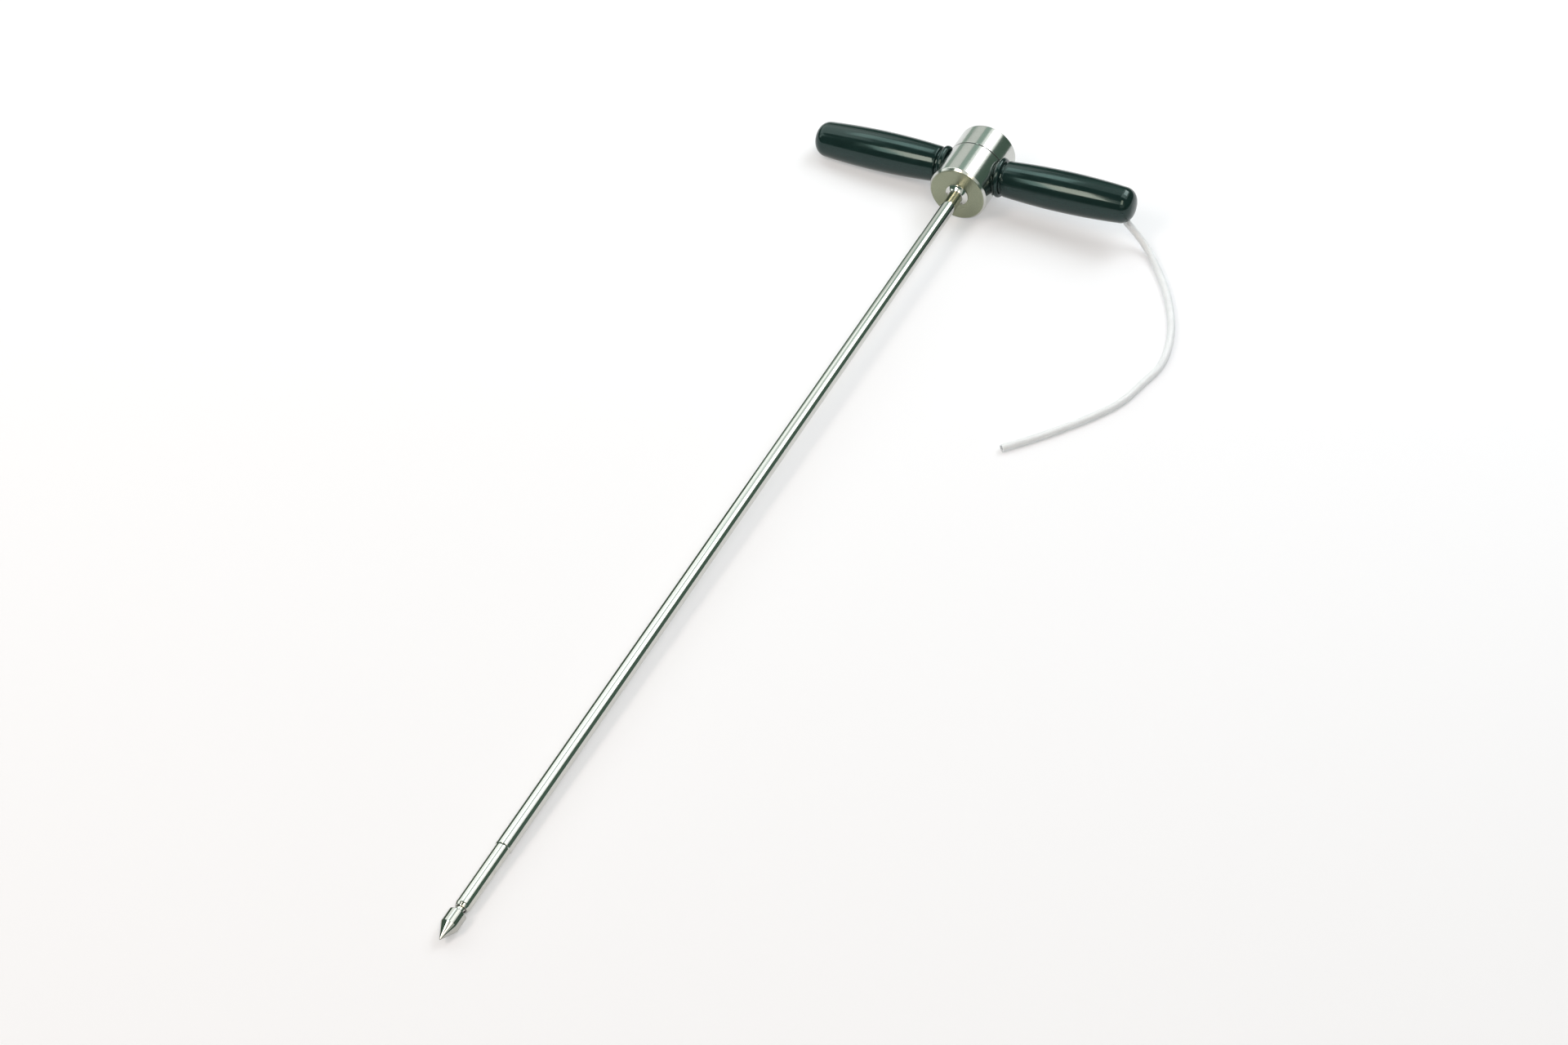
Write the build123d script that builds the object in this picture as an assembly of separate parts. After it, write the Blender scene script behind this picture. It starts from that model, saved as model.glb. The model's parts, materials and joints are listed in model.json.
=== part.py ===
from build123d import *
import math
import os

# Soil gas probe, drawn upright in its own axes and then laid on a table.
# Probe axes: the origin is the centre of the hub's lower face, +Z runs up the tube
# from tip to hub, and +X runs along the T-bar to the grip that lets the hose out.
# All sizes are in millimetres.

# Hub
hub_diameter = 50.0
hub_length = 65.0
hub_bevel = 2.0
hub_floor = 9.0  # metal left under the hose chamber
chamber_diameter = 30.0
bar_height = 33.0  # T-bar axis above the hub's lower face
seat_depth = 2.5  # flat seats milled into the hub's sides for the grips
seat_margin = 0.6  # a seat is this much larger than the bead on it, in radius

# Striking plug and its seal
plug_diameter = 36.0
plug_depth = 16.0
plug_crown_diameter = 33.0
plug_crown_height = 2.0
plug_bevel = 1.0
seal_thickness = 1.0

# Probe tube and collar
tube_diameter = 12.0
tube_wall = 1.5
tube_length = 736.0  # hub's lower face to sampling head
tube_end_bevel = 0.8
collar_diameter = 19.6
collar_height = 3.7
collar_rim = 0.8
collar_lip = 0.5  # collar's thickness where it runs out on the tube
collar_hollow = 0.15  # how far its flank is dished

# Sampling head
head_diameter = 10.8
head_length = 52.5
head_bevel_length = 2.4
head_bevel_depth = 0.9
spigot_length = 20.0
spigot_wall = 1.0
guide_length = 16.0

# Cone tip and stop nut
cone_diameter = 12.6
cone_barrel = 11.0
cone_taper = 11.5
cone_bevel = 0.8
point_diameter = 0.7
intake_gap = 3.6
neck_diameter = 6.6
neck_hidden = 2.0  # neck's length inside the head with the tip drawn out
stem_diameter = 5.0
stem_bore = 2.5
intake_hole = 2.2
nut_length = 5.0
nut_gap = 0.35  # nut in the spigot's bore, in radius

# Hose, nipple and ferrule
hose_diameter = 6.0
hose_bore = 4.0
nipple_shank = 8.0
nipple_flange = 1.5
nipple_bore = 2.5
nipple_seal = 0.8  # sealing ring between the spigot and the nipple's flange
flange_gap = 0.3  # nipple's flange in the tube, in radius
barb_bite = 0.25  # barbs into the hose's wall, in radius
barb_slack = 0.1  # barb roots inside the hose's bore, in radius
barb_pitch = 4.0
barb_count = 3
ferrule_wall = 0.5
ferrule_length = 8.0
ferrule_start = 1.5  # bare hose between the nipple's flange and the ferrule
hub_bend_overrun = 3.0  # the hose's bend in the hub ends this far inside the spindle
grip_bend = 20.0  # hose's bend radius at the outlet in the grip

# Spindles
spindle_diameter = 12.0
spindle_bevel = 0.8
hose_room = 0.4  # right spindle's bore round the hose, in radius
right_spindle_proud = 2.0  # right spindle past its insert
left_spindle_room = 5.5  # empty core past the left spindle

# Grips and their inserts
grip_length = 118.8
grip_diameter = 34.0
grip_belly = 58.0  # thickest place, from the seat
grip_neck_diameter = 29.6
grip_end_diameter = 28.4
grip_crown = 35.0  # end's crown radius
grip_corner = 10.5
grip_edge = 1.6
bead_diameter = 32.8
bead_width = 5.2
groove_diameter = 26.0
groove_width = 1.8
core_room = 0.5  # grip's core round the left spindle, in radius
core_end = 18.0  # solid length at the grip's outer end
insert_wall = 4.0
insert_start = 8.0
insert_length = 38.0
insert_waist = 14.0
insert_waist_depth = 0.8
spindle_room = 0.3  # grip's bore round the spindle, in radius
outlet_knee = 21.8  # where the outlet's axis leaves the grip's, from the outer end
outlet_angle = 48.0
bush_wall = 1.5
hose_stub = 4.5  # hose past the grip's skin before the free stretch
hose_first_run = 8.0

# The free hose's route over the table after its first run: places on the table and
# how far the hose's middle is lifted above lying on it, down to the bare cut end.
hose_route = [
    (148.5, 405.2, 6.4),
    (154.5, 402.0, 3.2),
    (160.5, 396.9, 1.1),
    (166.4, 390.2, 0.1),
    (175.2, 379.0, 0.0),
    (186.8, 362.5, 0.0),
    (200.1, 338.8, 0.0),
    (211.7, 309.6, 0.0),
    (217.3, 274.9, 0.0),
    (210.2, 249.2, 0.0),
    (204.7, 223.1, 0.0),
    (192.4, 200.3, 0.0),
    (176.6, 177.3, 0.0),
    (159.2, 154.1, 0.0),
    (141.4, 133.7, 0.0),
]

# Clearances
thread_gap = 0.05  # screwed, soldered and moulded fits, in radius
slide_gap = 0.05  # tip's stem in its guide, in radius
neck_gap = 0.3  # neck in the head's mouth, in radius
stop_gap = 0.05  # nut over its shoulder, and cone under the head when shut
mouth_margin = 0.6  # mouth's depth past the neck with the tip shut
cut_over = 1.0  # how far a cutter runs past what it cuts
arc_share = 0.45  # share of a hose run that the arc at either end takes

# Radii
hub_r = hub_diameter / 2
chamber_r = chamber_diameter / 2
plug_r = plug_diameter / 2
tube_r = tube_diameter / 2
tube_bore_r = tube_r - tube_wall
head_r = head_diameter / 2
spigot_r = tube_bore_r - thread_gap
spigot_bore_r = spigot_r - spigot_wall
flange_r = tube_bore_r - flange_gap
cone_r = cone_diameter / 2
neck_r = neck_diameter / 2
stem_r = stem_diameter / 2
hose_r = hose_diameter / 2
barb_r = hose_bore / 2 + barb_bite
barb_root_r = hose_bore / 2 - barb_slack
spindle_r = spindle_diameter / 2
spindle_bore_r = hose_r + hose_room
core_r = spindle_r + core_room
insert_r = spindle_r + insert_wall
outlet_r = hose_r + bush_wall

# Heights along the tube
head_top = -tube_length
head_end = head_top - head_length
spigot_top = head_top + spigot_length
cone_rear = head_end - intake_gap
cone_shoulder = cone_rear - cone_barrel
cone_point = cone_shoulder - cone_taper
tip_travel = intake_gap - stop_gap
neck_top = head_end + neck_hidden
mouth_top = neck_top + tip_travel + mouth_margin
guide_top = mouth_top + guide_length
nut_bottom = guide_top + stop_gap
nut_top = nut_bottom + nut_length
flange_bottom = spigot_top + nipple_seal
flange_top = flange_bottom + nipple_flange
mouth_floor = hub_length - plug_depth - seal_thickness

# Places along the T-bar
seat_x = hub_r - seat_depth
grip_end = seat_x + grip_length
pocket_start = seat_x + insert_start
pocket_end = pocket_start + insert_length
core_stop = grip_end - core_end
knee_x = grip_end - outlet_knee
outlet_way = Vector(math.cos(math.radians(outlet_angle)), math.sin(math.radians(outlet_angle)), 0)
bar = Pos(0, 0, bar_height)
turned_left = Rot(0, 0, 180)


def lathe(*outline):
    """Solid turned about +Z from (radius, height) points or edges."""
    if isinstance(outline[0], tuple):
        outline = [Polyline(*outline, close=True)]
    return revolve(Plane.XZ * make_face(outline), Axis.Z)


def rod(radius, start, end):
    """Cylinder on +Z between two heights."""
    return Pos(0, 0, start) * Cylinder(radius, end - start, align=(Align.CENTER, Align.CENTER, Align.MIN))


def cross_rod(radius, start, end):
    """Cylinder on +X between two places."""
    return Rot(0, 90, 0) * rod(radius, start, end)


def make_hub_body():
    blank = rod(hub_r, 0, hub_length)
    blank = chamfer(blank.edges().filter_by(GeomType.CIRCLE), hub_bevel)
    blank -= rod(plug_r, mouth_floor, hub_length + cut_over)
    blank -= rod(chamber_r, hub_floor, mouth_floor + cut_over)
    blank -= rod(tube_r + thread_gap, -cut_over, hub_floor + cut_over)
    blank -= bar * cross_rod(spindle_r + thread_gap, -hub_r, hub_r)
    seat = cross_rod(bead_diameter / 2 + seat_margin, seat_x, hub_r + cut_over)
    return blank - bar * seat - bar * turned_left * seat


def make_striking_plug():
    shank = rod(plug_r - thread_gap, mouth_floor + seal_thickness, hub_length)
    crown = rod(plug_crown_diameter / 2, hub_length, hub_length + plug_crown_height)
    plug = shank + crown
    return chamfer(plug.edges().filter_by(GeomType.CIRCLE).sort_by(Axis.Z)[-1], plug_bevel)


def make_plug_seal():
    ring = rod(plug_r - thread_gap, mouth_floor, mouth_floor + seal_thickness)
    return ring - rod(chamber_r, mouth_floor, mouth_floor + seal_thickness)


def make_probe_tube():
    tube = rod(tube_r, -tube_length, hub_floor) - rod(tube_bore_r, -tube_length, hub_floor)
    lower_rim = tube.edges().filter_by(GeomType.CIRCLE).group_by(Axis.Z)[0].sort_by(SortBy.RADIUS)[-1]
    return chamfer(lower_rim, tube_end_bevel)


def make_tube_collar():
    inner = tube_r + thread_gap
    rim = (collar_diameter / 2, -collar_rim)
    runout = (tube_r + collar_lip, -collar_height)
    sides = Polyline(runout, (inner, -collar_height), (inner, 0), (collar_diameter / 2, 0), rim)
    flank = SagittaArc(rim, runout, -collar_hollow)
    return lathe(sides, flank)


def make_sampling_head():
    mouth_r = neck_r + neck_gap
    guide_r = stem_r + slide_gap
    return lathe(
        (mouth_r, head_end),
        (head_r - head_bevel_depth, head_end),
        (head_r, head_end + head_bevel_length),
        (head_r, head_top),
        (spigot_r, head_top),
        (spigot_r, spigot_top),
        (spigot_bore_r, spigot_top),
        (spigot_bore_r, guide_top),
        (guide_r, guide_top),
        (guide_r, mouth_top),
        (mouth_r, mouth_top),
    )


def make_cone_tip():
    tip = lathe(
        (0, cone_point),
        (point_diameter / 2, cone_point),
        (cone_r, cone_shoulder),
        (cone_r, cone_rear - cone_bevel),
        (cone_r - cone_bevel, cone_rear),
        (neck_r, cone_rear),
        (neck_r, neck_top),
        (stem_r, neck_top),
        (stem_r, nut_top),
        (0, nut_top),
    )
    intake_height = (cone_rear + head_end) / 2
    tip -= rod(stem_bore / 2, intake_height, nut_top + cut_over)
    return tip - Pos(0, 0, intake_height) * cross_rod(intake_hole / 2, -neck_r - cut_over, neck_r + cut_over)


def make_tip_stop_nut():
    return rod(spigot_bore_r - nut_gap, nut_bottom, nut_top) - rod(stem_r + thread_gap, nut_bottom, nut_top)


def make_hose_nipple():
    barbs = []
    for step in range(barb_count):
        low = flange_top + step * barb_pitch
        barbs.append((barb_root_r, low))
        barbs.append((barb_r, low))
    barbs.append((barb_root_r, flange_top + barb_count * barb_pitch))
    return lathe(
        (nipple_bore / 2, spigot_top - nipple_shank),
        (spigot_bore_r - thread_gap, spigot_top - nipple_shank),
        (spigot_bore_r - thread_gap, flange_bottom),
        (flange_r, flange_bottom),
        (flange_r, flange_top),
        *barbs,
        (nipple_bore / 2, flange_top + barb_count * barb_pitch),
    )


def make_nipple_seal():
    return rod(flange_r, spigot_top, flange_bottom) - rod(spigot_bore_r, spigot_top, flange_bottom)


def make_hose_ferrule():
    start = flange_top + ferrule_start
    end = start + ferrule_length
    return rod(hose_r + thread_gap + ferrule_wall, start, end) - rod(hose_r + thread_gap, start, end)


def make_spindle(end):
    spindle = cross_rod(spindle_r, chamber_r, end)
    return chamfer(spindle.edges().filter_by(GeomType.CIRCLE), spindle_bevel)


def make_hollow_spindle(end):
    return make_spindle(end) - cross_rod(spindle_bore_r, chamber_r - cut_over, end + cut_over)


def make_grip_insert():
    waist = (pocket_start + pocket_end - insert_waist) / 2
    insert = cross_rod(insert_r, pocket_start, pocket_end)
    insert -= cross_rod(spindle_r + thread_gap, pocket_start, pocket_end)
    band = cross_rod(insert_r + cut_over, waist, waist + insert_waist)
    return insert - (band - cross_rod(insert_r - insert_waist_depth, waist, waist + insert_waist))


def make_grip_profile():
    """Half outline of a grip on the T-bar's axis: bead, groove, barrel and crowned end."""
    groove_r = groove_diameter / 2
    bead_root = (bead_diameter - bead_width) / 2
    end_r = grip_end_diameter / 2
    bead_end = seat_x + bead_width
    body_start = bead_end + groove_width
    crown_start = grip_end - grip_crown + math.sqrt(grip_crown**2 - end_r**2)
    neck = (body_start, grip_neck_diameter / 2)
    shoulder = (crown_start, end_r)
    bead_top = (seat_x + bead_width / 2, bead_diameter / 2)
    belly = (seat_x + grip_belly, grip_diameter / 2)
    outline = [
        Polyline((grip_end, 0), (seat_x, 0), (seat_x, bead_root)),
        ThreePointArc((seat_x, bead_root), bead_top, (bead_end, bead_root)),
        Polyline((bead_end, bead_root), (bead_end, groove_r), (body_start, groove_r), neck),
        ThreePointArc(neck, belly, shoulder),
        RadiusArc(shoulder, (grip_end, 0), grip_crown),
    ]
    profile = make_face(outline)
    by_place = profile.vertices().sort_by(Axis.X)
    profile = fillet(by_place[-2], grip_corner)
    neck_corner = profile.vertices().sort_by_distance(neck)[0]
    return fillet(neck_corner, grip_edge)


def make_grip():
    grip = revolve(make_grip_profile(), Axis.X)
    grip -= cross_rod(spindle_r + spindle_room, seat_x - cut_over, pocket_start + cut_over)
    grip -= cross_rod(insert_r + thread_gap, pocket_start, pocket_end)
    return grip - cross_rod(core_r, pocket_start, core_stop)


def outlet_rod(radius, length):
    """Cylinder along the outlet's slanted axis, from the knee outwards."""
    outlet = Plane(origin=(knee_x, 0, 0), z_dir=outlet_way)
    return outlet * rod(radius, 0, length)


def outlet_exit():
    """Distance along the outlet's axis from the knee to the grip's skin."""
    skin = revolve(make_grip_profile(), Axis.X)
    crossings = skin.find_intersection_points(Axis((knee_x, 0, 0), outlet_way))
    return max((point - Vector(knee_x, 0, 0)).dot(outlet_way) for point, normal in crossings)


def make_outlet_bush():
    skin = revolve(make_grip_profile(), Axis.X)
    bush = outlet_rod(outlet_r - thread_gap, grip_length) & skin
    bush -= outlet_rod(hose_r, grip_length)
    return bush - cross_rod(core_r, seat_x, core_stop)


def hose_along(path):
    """Hose wall swept along a path, with its volume set against section times length."""
    start = Plane(origin=path @ 0, z_dir=path % 0)
    wall = start * (Circle(hose_r) - Circle(hose_bore / 2))
    hose = sweep(wall, path=path)
    expected = wall.area * path.length
    print(f"hose {path.length:.1f} mm long, volume {hose.volume / expected:.5f} of section times length")
    return hose


def make_gas_hose(exit_point, exit_way):
    """Free stretch on the table, with each arc as large as its two runs allow."""
    points = [exit_point, exit_point + exit_way * hose_first_run]
    points += [Vector(x, y, hose_r + lift) for x, y, lift in hose_route]
    radii = []
    for before, here, after in zip(points, points[1:], points[2:]):
        half_turn = math.radians((here - before).get_angle(after - here)) / 2
        shorter_run = min((here - before).length, (after - here).length)
        radii.append(arc_share * shorter_run / math.tan(half_turn))
    print("free hose radii", [round(radius, 1) for radius in radii])
    return hose_along(FilletPolyline(*points, radius=radii))


def make_inner_hose(stub_end):
    route = [(0, 0, flange_top), (0, 0, bar_height), (knee_x, 0, bar_height), stub_end]
    return hose_along(FilletPolyline(*route, radius=[chamber_r + hub_bend_overrun, grip_bend]))


# The pose on the table: the hub's lower rim, the cone's shoulder and the left grip's
# outer corner touch it. The tube leans by the two radii, and the T-bar rolls until the
# corner arc of the left grip comes down.
lean = math.atan((hub_r - cone_r) / (hub_bevel - cone_shoulder))
rise = hub_r * math.cos(lean) - hub_bevel * math.sin(lean)
grip_arcs = make_grip_profile().edges().filter_by(GeomType.CIRCLE)
corner = min(grip_arcs, key=lambda arc: abs(arc.radius - grip_corner)).arc_center
bar_rise = rise + bar_height * math.sin(lean)
roll = math.asin((bar_rise - grip_corner) / math.hypot(corner.X, corner.Y)) - math.atan2(corner.Y, corner.X)

# The origin is under the middle of the probe's length.
crown_rim = plug_crown_diameter / 2 - plug_bevel
far_end = (hub_length + plug_crown_height) * math.cos(lean) + crown_rim * math.sin(lean)
near_end = cone_point * math.cos(lean) - point_diameter / 2 * math.sin(lean)
hub_place = -(far_end + near_end) / 2
laid = Pos(0, hub_place, rise) * Rot(math.degrees(lean) - 90, 0, 0) * Rot(0, 0, -math.degrees(roll))
stub_end = Vector(knee_x, 0, bar_height) + outlet_way * (outlet_exit() + hose_stub)

pieces = {
    "hub_body": make_hub_body(),
    "striking_plug": make_striking_plug(),
    "plug_seal": make_plug_seal(),
    "probe_tube": make_probe_tube(),
    "tube_collar": make_tube_collar(),
    "sampling_head": make_sampling_head(),
    "hose_nipple": make_hose_nipple(),
    "nipple_seal": make_nipple_seal(),
    "hose_ferrule": make_hose_ferrule(),
    "cone_tip": make_cone_tip(),
    "tip_stop_nut": make_tip_stop_nut(),
    "right_spindle": bar * make_hollow_spindle(pocket_end + right_spindle_proud),
    "left_spindle": bar * turned_left * make_spindle(core_stop - left_spindle_room),
    "right_grip_insert": bar * make_grip_insert(),
    "left_grip_insert": bar * turned_left * make_grip_insert(),
    "right_grip": bar * (make_grip() - outlet_rod(outlet_r, grip_length)),
    "left_grip": bar * turned_left * make_grip(),
    "outlet_bush": bar * make_outlet_bush(),
    "inner_hose": make_inner_hose(stub_end),
}

placed = {name: laid * solid for name, solid in pieces.items()}
exit_point = (laid * Pos(stub_end)).position
exit_way = exit_point - (laid * Pos(stub_end - outlet_way)).position
placed["gas_hose"] = make_gas_hose(exit_point, exit_way)

os.makedirs("parts", exist_ok=True)
for name, solid in placed.items():
    export_step(solid, f"parts/{name}.step")
print(f"lean {math.degrees(lean):.4f} deg, roll {math.degrees(roll):.4f} deg")
print(f"hub face at y {hub_place:.4f}, z {rise:.4f}, hose exit {exit_point}, way {exit_way}")
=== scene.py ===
import json
import math

import bpy
from mathutils import Matrix, Vector


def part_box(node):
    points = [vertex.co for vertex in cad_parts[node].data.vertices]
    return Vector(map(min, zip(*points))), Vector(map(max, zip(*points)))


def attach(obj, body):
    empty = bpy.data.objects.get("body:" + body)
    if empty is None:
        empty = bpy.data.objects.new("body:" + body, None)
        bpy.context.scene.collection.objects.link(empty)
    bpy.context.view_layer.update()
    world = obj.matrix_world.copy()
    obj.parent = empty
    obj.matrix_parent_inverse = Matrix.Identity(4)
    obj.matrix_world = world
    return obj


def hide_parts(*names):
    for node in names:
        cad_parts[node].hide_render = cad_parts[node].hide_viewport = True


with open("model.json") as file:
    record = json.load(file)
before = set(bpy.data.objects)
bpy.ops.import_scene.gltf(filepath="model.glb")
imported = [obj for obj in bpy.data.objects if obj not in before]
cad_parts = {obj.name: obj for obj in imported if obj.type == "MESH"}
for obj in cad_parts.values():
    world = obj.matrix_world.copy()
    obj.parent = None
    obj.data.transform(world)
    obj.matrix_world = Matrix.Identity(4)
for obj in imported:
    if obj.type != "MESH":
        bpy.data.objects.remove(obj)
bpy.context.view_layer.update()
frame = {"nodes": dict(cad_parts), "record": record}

bl_info = {
    "name": "Soil Gas Probe",
    "version": (1, 0, 0),
    "blender": (4, 5, 0),
    "location": "View3D > Sidebar > Soil Probe",
    "description": "Models a hand-driven soil gas probe over its solid model",
    "category": "Add Mesh",
}

MM = 0.001

# The hub's lower face lies this far down the axis from the striking face.
STRIKING_REACH = 67.0 * MM

# The free hose's control points after its first run: places on the table and how far
# the hose's middle is lifted above lying on it, all in millimetres.
HOSE_ROUTE = (
    (148.5, 405.2, 6.4),
    (154.5, 402.0, 3.2),
    (160.5, 396.9, 1.1),
    (166.4, 390.2, 0.1),
    (175.2, 379.0, 0.0),
    (186.8, 362.5, 0.0),
    (200.1, 338.8, 0.0),
    (211.7, 309.6, 0.0),
    (217.3, 274.9, 0.0),
    (210.2, 249.2, 0.0),
    (204.7, 223.1, 0.0),
    (192.4, 200.3, 0.0),
    (176.6, 177.3, 0.0),
    (159.2, 154.1, 0.0),
    (141.4, 133.7, 0.0),
)


def middle(node):
    """Middle of a solid's box."""
    low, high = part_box(node)
    return (low + high) / 2


def probe_axes():
    """Matrix from the probe's own axes to the frame: +Z up the tube, +X along the T-bar."""
    face = next(m for m in frame["record"]["mounts"] if m["name"] == "striking_face")
    up_tube = Vector(face["axis"]).normalized()
    bar = middle("right_spindle") - middle("left_spindle")
    along_bar = (bar - up_tube * bar.dot(up_tube)).normalized()
    axes = Matrix((along_bar, up_tube.cross(along_bar), up_tube)).transposed().to_4x4()
    axes.translation = Vector(face["pos_m"]) - up_tube * STRIKING_REACH
    return axes


PROBE = probe_axes()


# Settings that a user would change

def length(name, description, millimetres):
    """Length property, written in millimetres and kept in metres."""
    return bpy.props.FloatProperty(
        name=name, description=description, default=millimetres * MM, min=0.0, precision=5, unit="LENGTH"
    )


def colour(name, description, default):
    """Colour property."""
    return bpy.props.FloatVectorProperty(
        name=name, description=description, default=default, min=0.0, max=1.0, size=3, subtype="COLOR"
    )


def share(name, description, default):
    """Property from 0 to 1."""
    return bpy.props.FloatProperty(
        name=name, description=description, default=default, min=0.0, max=1.0, subtype="FACTOR"
    )


def group(kind, name, description):
    """Pointer to a group of settings."""
    return bpy.props.PointerProperty(type=kind, name=name, description=description)


class HubSizes(bpy.types.PropertyGroup):
    """Sizes of the hub and of the plug that takes the hammer."""

    diameter: length("Diameter", "Across the hub's turned side", 50.0)
    height: length("Length", "Between the hub's end faces", 65.0)
    bevel: length("Bevel", "Bevel on the hub's rims", 2.0)
    floor: length("Floor", "Metal left under the hose chamber", 9.0)
    chamber: length("Chamber", "Across the hose chamber", 30.0)
    bar_height: length("T-bar height", "T-bar's axis over the lower face", 33.0)
    seat_depth: length("Seat depth", "Depth of the flat seats for the grips", 2.5)
    seat: length("Seat", "Across a grip's seat", 34.0)
    hole: length("Holes", "Across the holes for the tube and the spindles", 12.1)
    plug: length("Plug", "Across the striking plug's thread", 36.0)
    plug_depth: length("Plug depth", "Plug's length in the hub", 16.0)
    seal: length("Seal", "Thickness of the seal under the plug", 1.0)
    ring_height: length("Ring height", "Scribed ring over the lower face", 38.0)
    ring_width: length("Ring width", "Width of the scribed ring", 1.0)
    ring_depth: length("Ring depth", "Depth of the scribed ring", 0.14)
    crown: length("Crown", "Across the plug's crown", 33.0)
    crown_height: length("Crown height", "Plug's crown over the hub", 2.0)
    crown_bevel: length("Crown bevel", "Bevel on the plug's crown", 1.0)
    edge: length("Edge break", "Rounding on turned edges", 0.22)


class TubeSizes(bpy.types.PropertyGroup):
    """Sizes of the tube and of the collar under the hub."""

    diameter: length("Diameter", "Across the tube", 12.0)
    wall: length("Wall", "Tube's wall", 1.5)
    reach: length("Length", "Hub's lower face to sampling head", 736.0)
    end_bevel: length("End bevel", "Bevel on the tube's lower end", 0.8)
    collar: length("Collar", "Across the collar", 19.6)
    collar_height: length("Collar height", "Collar's height under the hub", 3.7)
    collar_rim: length("Collar rim", "Collar's straight rim", 0.8)
    collar_lip: length("Collar lip", "Collar's thickness where it ends on the tube", 0.5)
    collar_hollow: length("Collar hollow", "How far the collar's flank is dished", 0.15)
    edge: length("Edge break", "Rounding on turned edges", 0.12)


class TipSizes(bpy.types.PropertyGroup):
    """Sizes of the sampling head and of the loose cone tip."""

    head: length("Head", "Across the sampling head", 10.8)
    head_length: length("Head length", "Sampling head under the tube", 52.5)
    head_bevel_length: length("Head bevel length", "Bevel's length at the head's end", 2.4)
    head_bevel_depth: length("Head bevel depth", "Bevel's depth at the head's end", 0.9)
    spigot: length("Spigot", "Across the head's screwed spigot", 8.9)
    spigot_bore: length("Spigot bore", "Across the spigot's bore", 6.9)
    spigot_length: length("Spigot length", "Spigot's length in the tube", 20.0)
    mouth: length("Mouth", "Across the head's mouth", 7.2)
    mouth_depth: length("Mouth depth", "Depth of the head's mouth", 6.15)
    guide: length("Guide", "Across the stem's guide in the head", 5.1)
    guide_length: length("Guide length", "Length of the stem's guide", 16.0)
    gap: length("Intake gap", "Gap between the head and the cone", 3.6)
    cone: length("Cone", "Across the cone", 12.6)
    barrel: length("Barrel", "Cone's straight length", 11.0)
    taper: length("Taper", "Cone's tapered length", 11.5)
    cone_bevel: length("Cone bevel", "Bevel on the cone's rear edge", 0.8)
    point: length("Point", "Across the blunted point", 0.7)
    neck: length("Neck", "Across the neck", 6.6)
    neck_hidden: length("Neck in head", "Neck's length inside the head", 2.0)
    stem: length("Stem", "Across the stem", 5.0)
    stem_bore: length("Stem bore", "Across the stem's gas bore", 2.5)
    stem_top: length("Stem top", "Stem's upper end over the head's end", 27.2)
    intake: length("Intake hole", "Across the hole through the neck", 2.2)
    edge: length("Edge break", "Rounding on turned edges", 0.12)


class GripSizes(bpy.types.PropertyGroup):
    """Sizes of the two moulded grips."""

    reach: length("Length", "Grip's length from its seat", 118.8)
    belly: length("Belly", "Across the grip at its thickest", 34.0)
    belly_place: length("Belly place", "Thickest place from the seat", 58.0)
    neck: length("Neck", "Across the grip beside the groove", 29.6)
    end: length("End", "Across the grip where its crown starts", 28.4)
    crown: length("Crown", "Radius of the crowned end", 35.0)
    corner: length("Corner", "Radius of the end's corner", 10.5)
    neck_edge: length("Neck edge", "Radius of the edge beside the groove", 1.6)
    bead: length("Bead", "Across the round bead", 32.8)
    bead_width: length("Bead width", "Width of the round bead at the hub", 5.2)
    groove: length("Groove", "Across the groove", 26.0)
    groove_width: length("Groove width", "Width of the groove", 1.8)
    bore: length("Bore", "Across the bore round the spindle", 12.6)
    bore_depth: length("Bore depth", "Depth of that bore", 8.0)
    pocket: length("Pocket", "Across the insert's pocket", 20.1)
    pocket_length: length("Pocket length", "Length of the insert's pocket", 38.0)
    core: length("Core", "Across the hollow core", 13.0)
    solid_end: length("Solid end", "Solid length at the outer end", 18.0)
    outlet: length("Outlet", "Across the hose's outlet", 9.0)
    outlet_knee: length("Outlet knee", "Outlet's start from the outer end", 21.8)
    edge: length("Edge break", "Rounding on moulded edges", 0.12)
    outlet_angle: bpy.props.FloatProperty(
        name="Outlet angle",
        description="Outlet's slant from the grip's axis",
        default=math.radians(48.0),
        subtype="ANGLE",
        unit="ROTATION",
    )


class HoseSizes(bpy.types.PropertyGroup):
    """Sizes of the gas hose."""

    diameter: length("Diameter", "Across the hose", 6.0)
    wall: length("Wall", "Hose's wall", 1.0)
    free_length: length("Free length", "Hose from the grip to its cut end", 330.6)
    stub: length("Stub", "Hose past the grip's skin before its free length", 4.5)
    first_run: length("First run", "Straight run at the start of the free length", 8.0)


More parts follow.
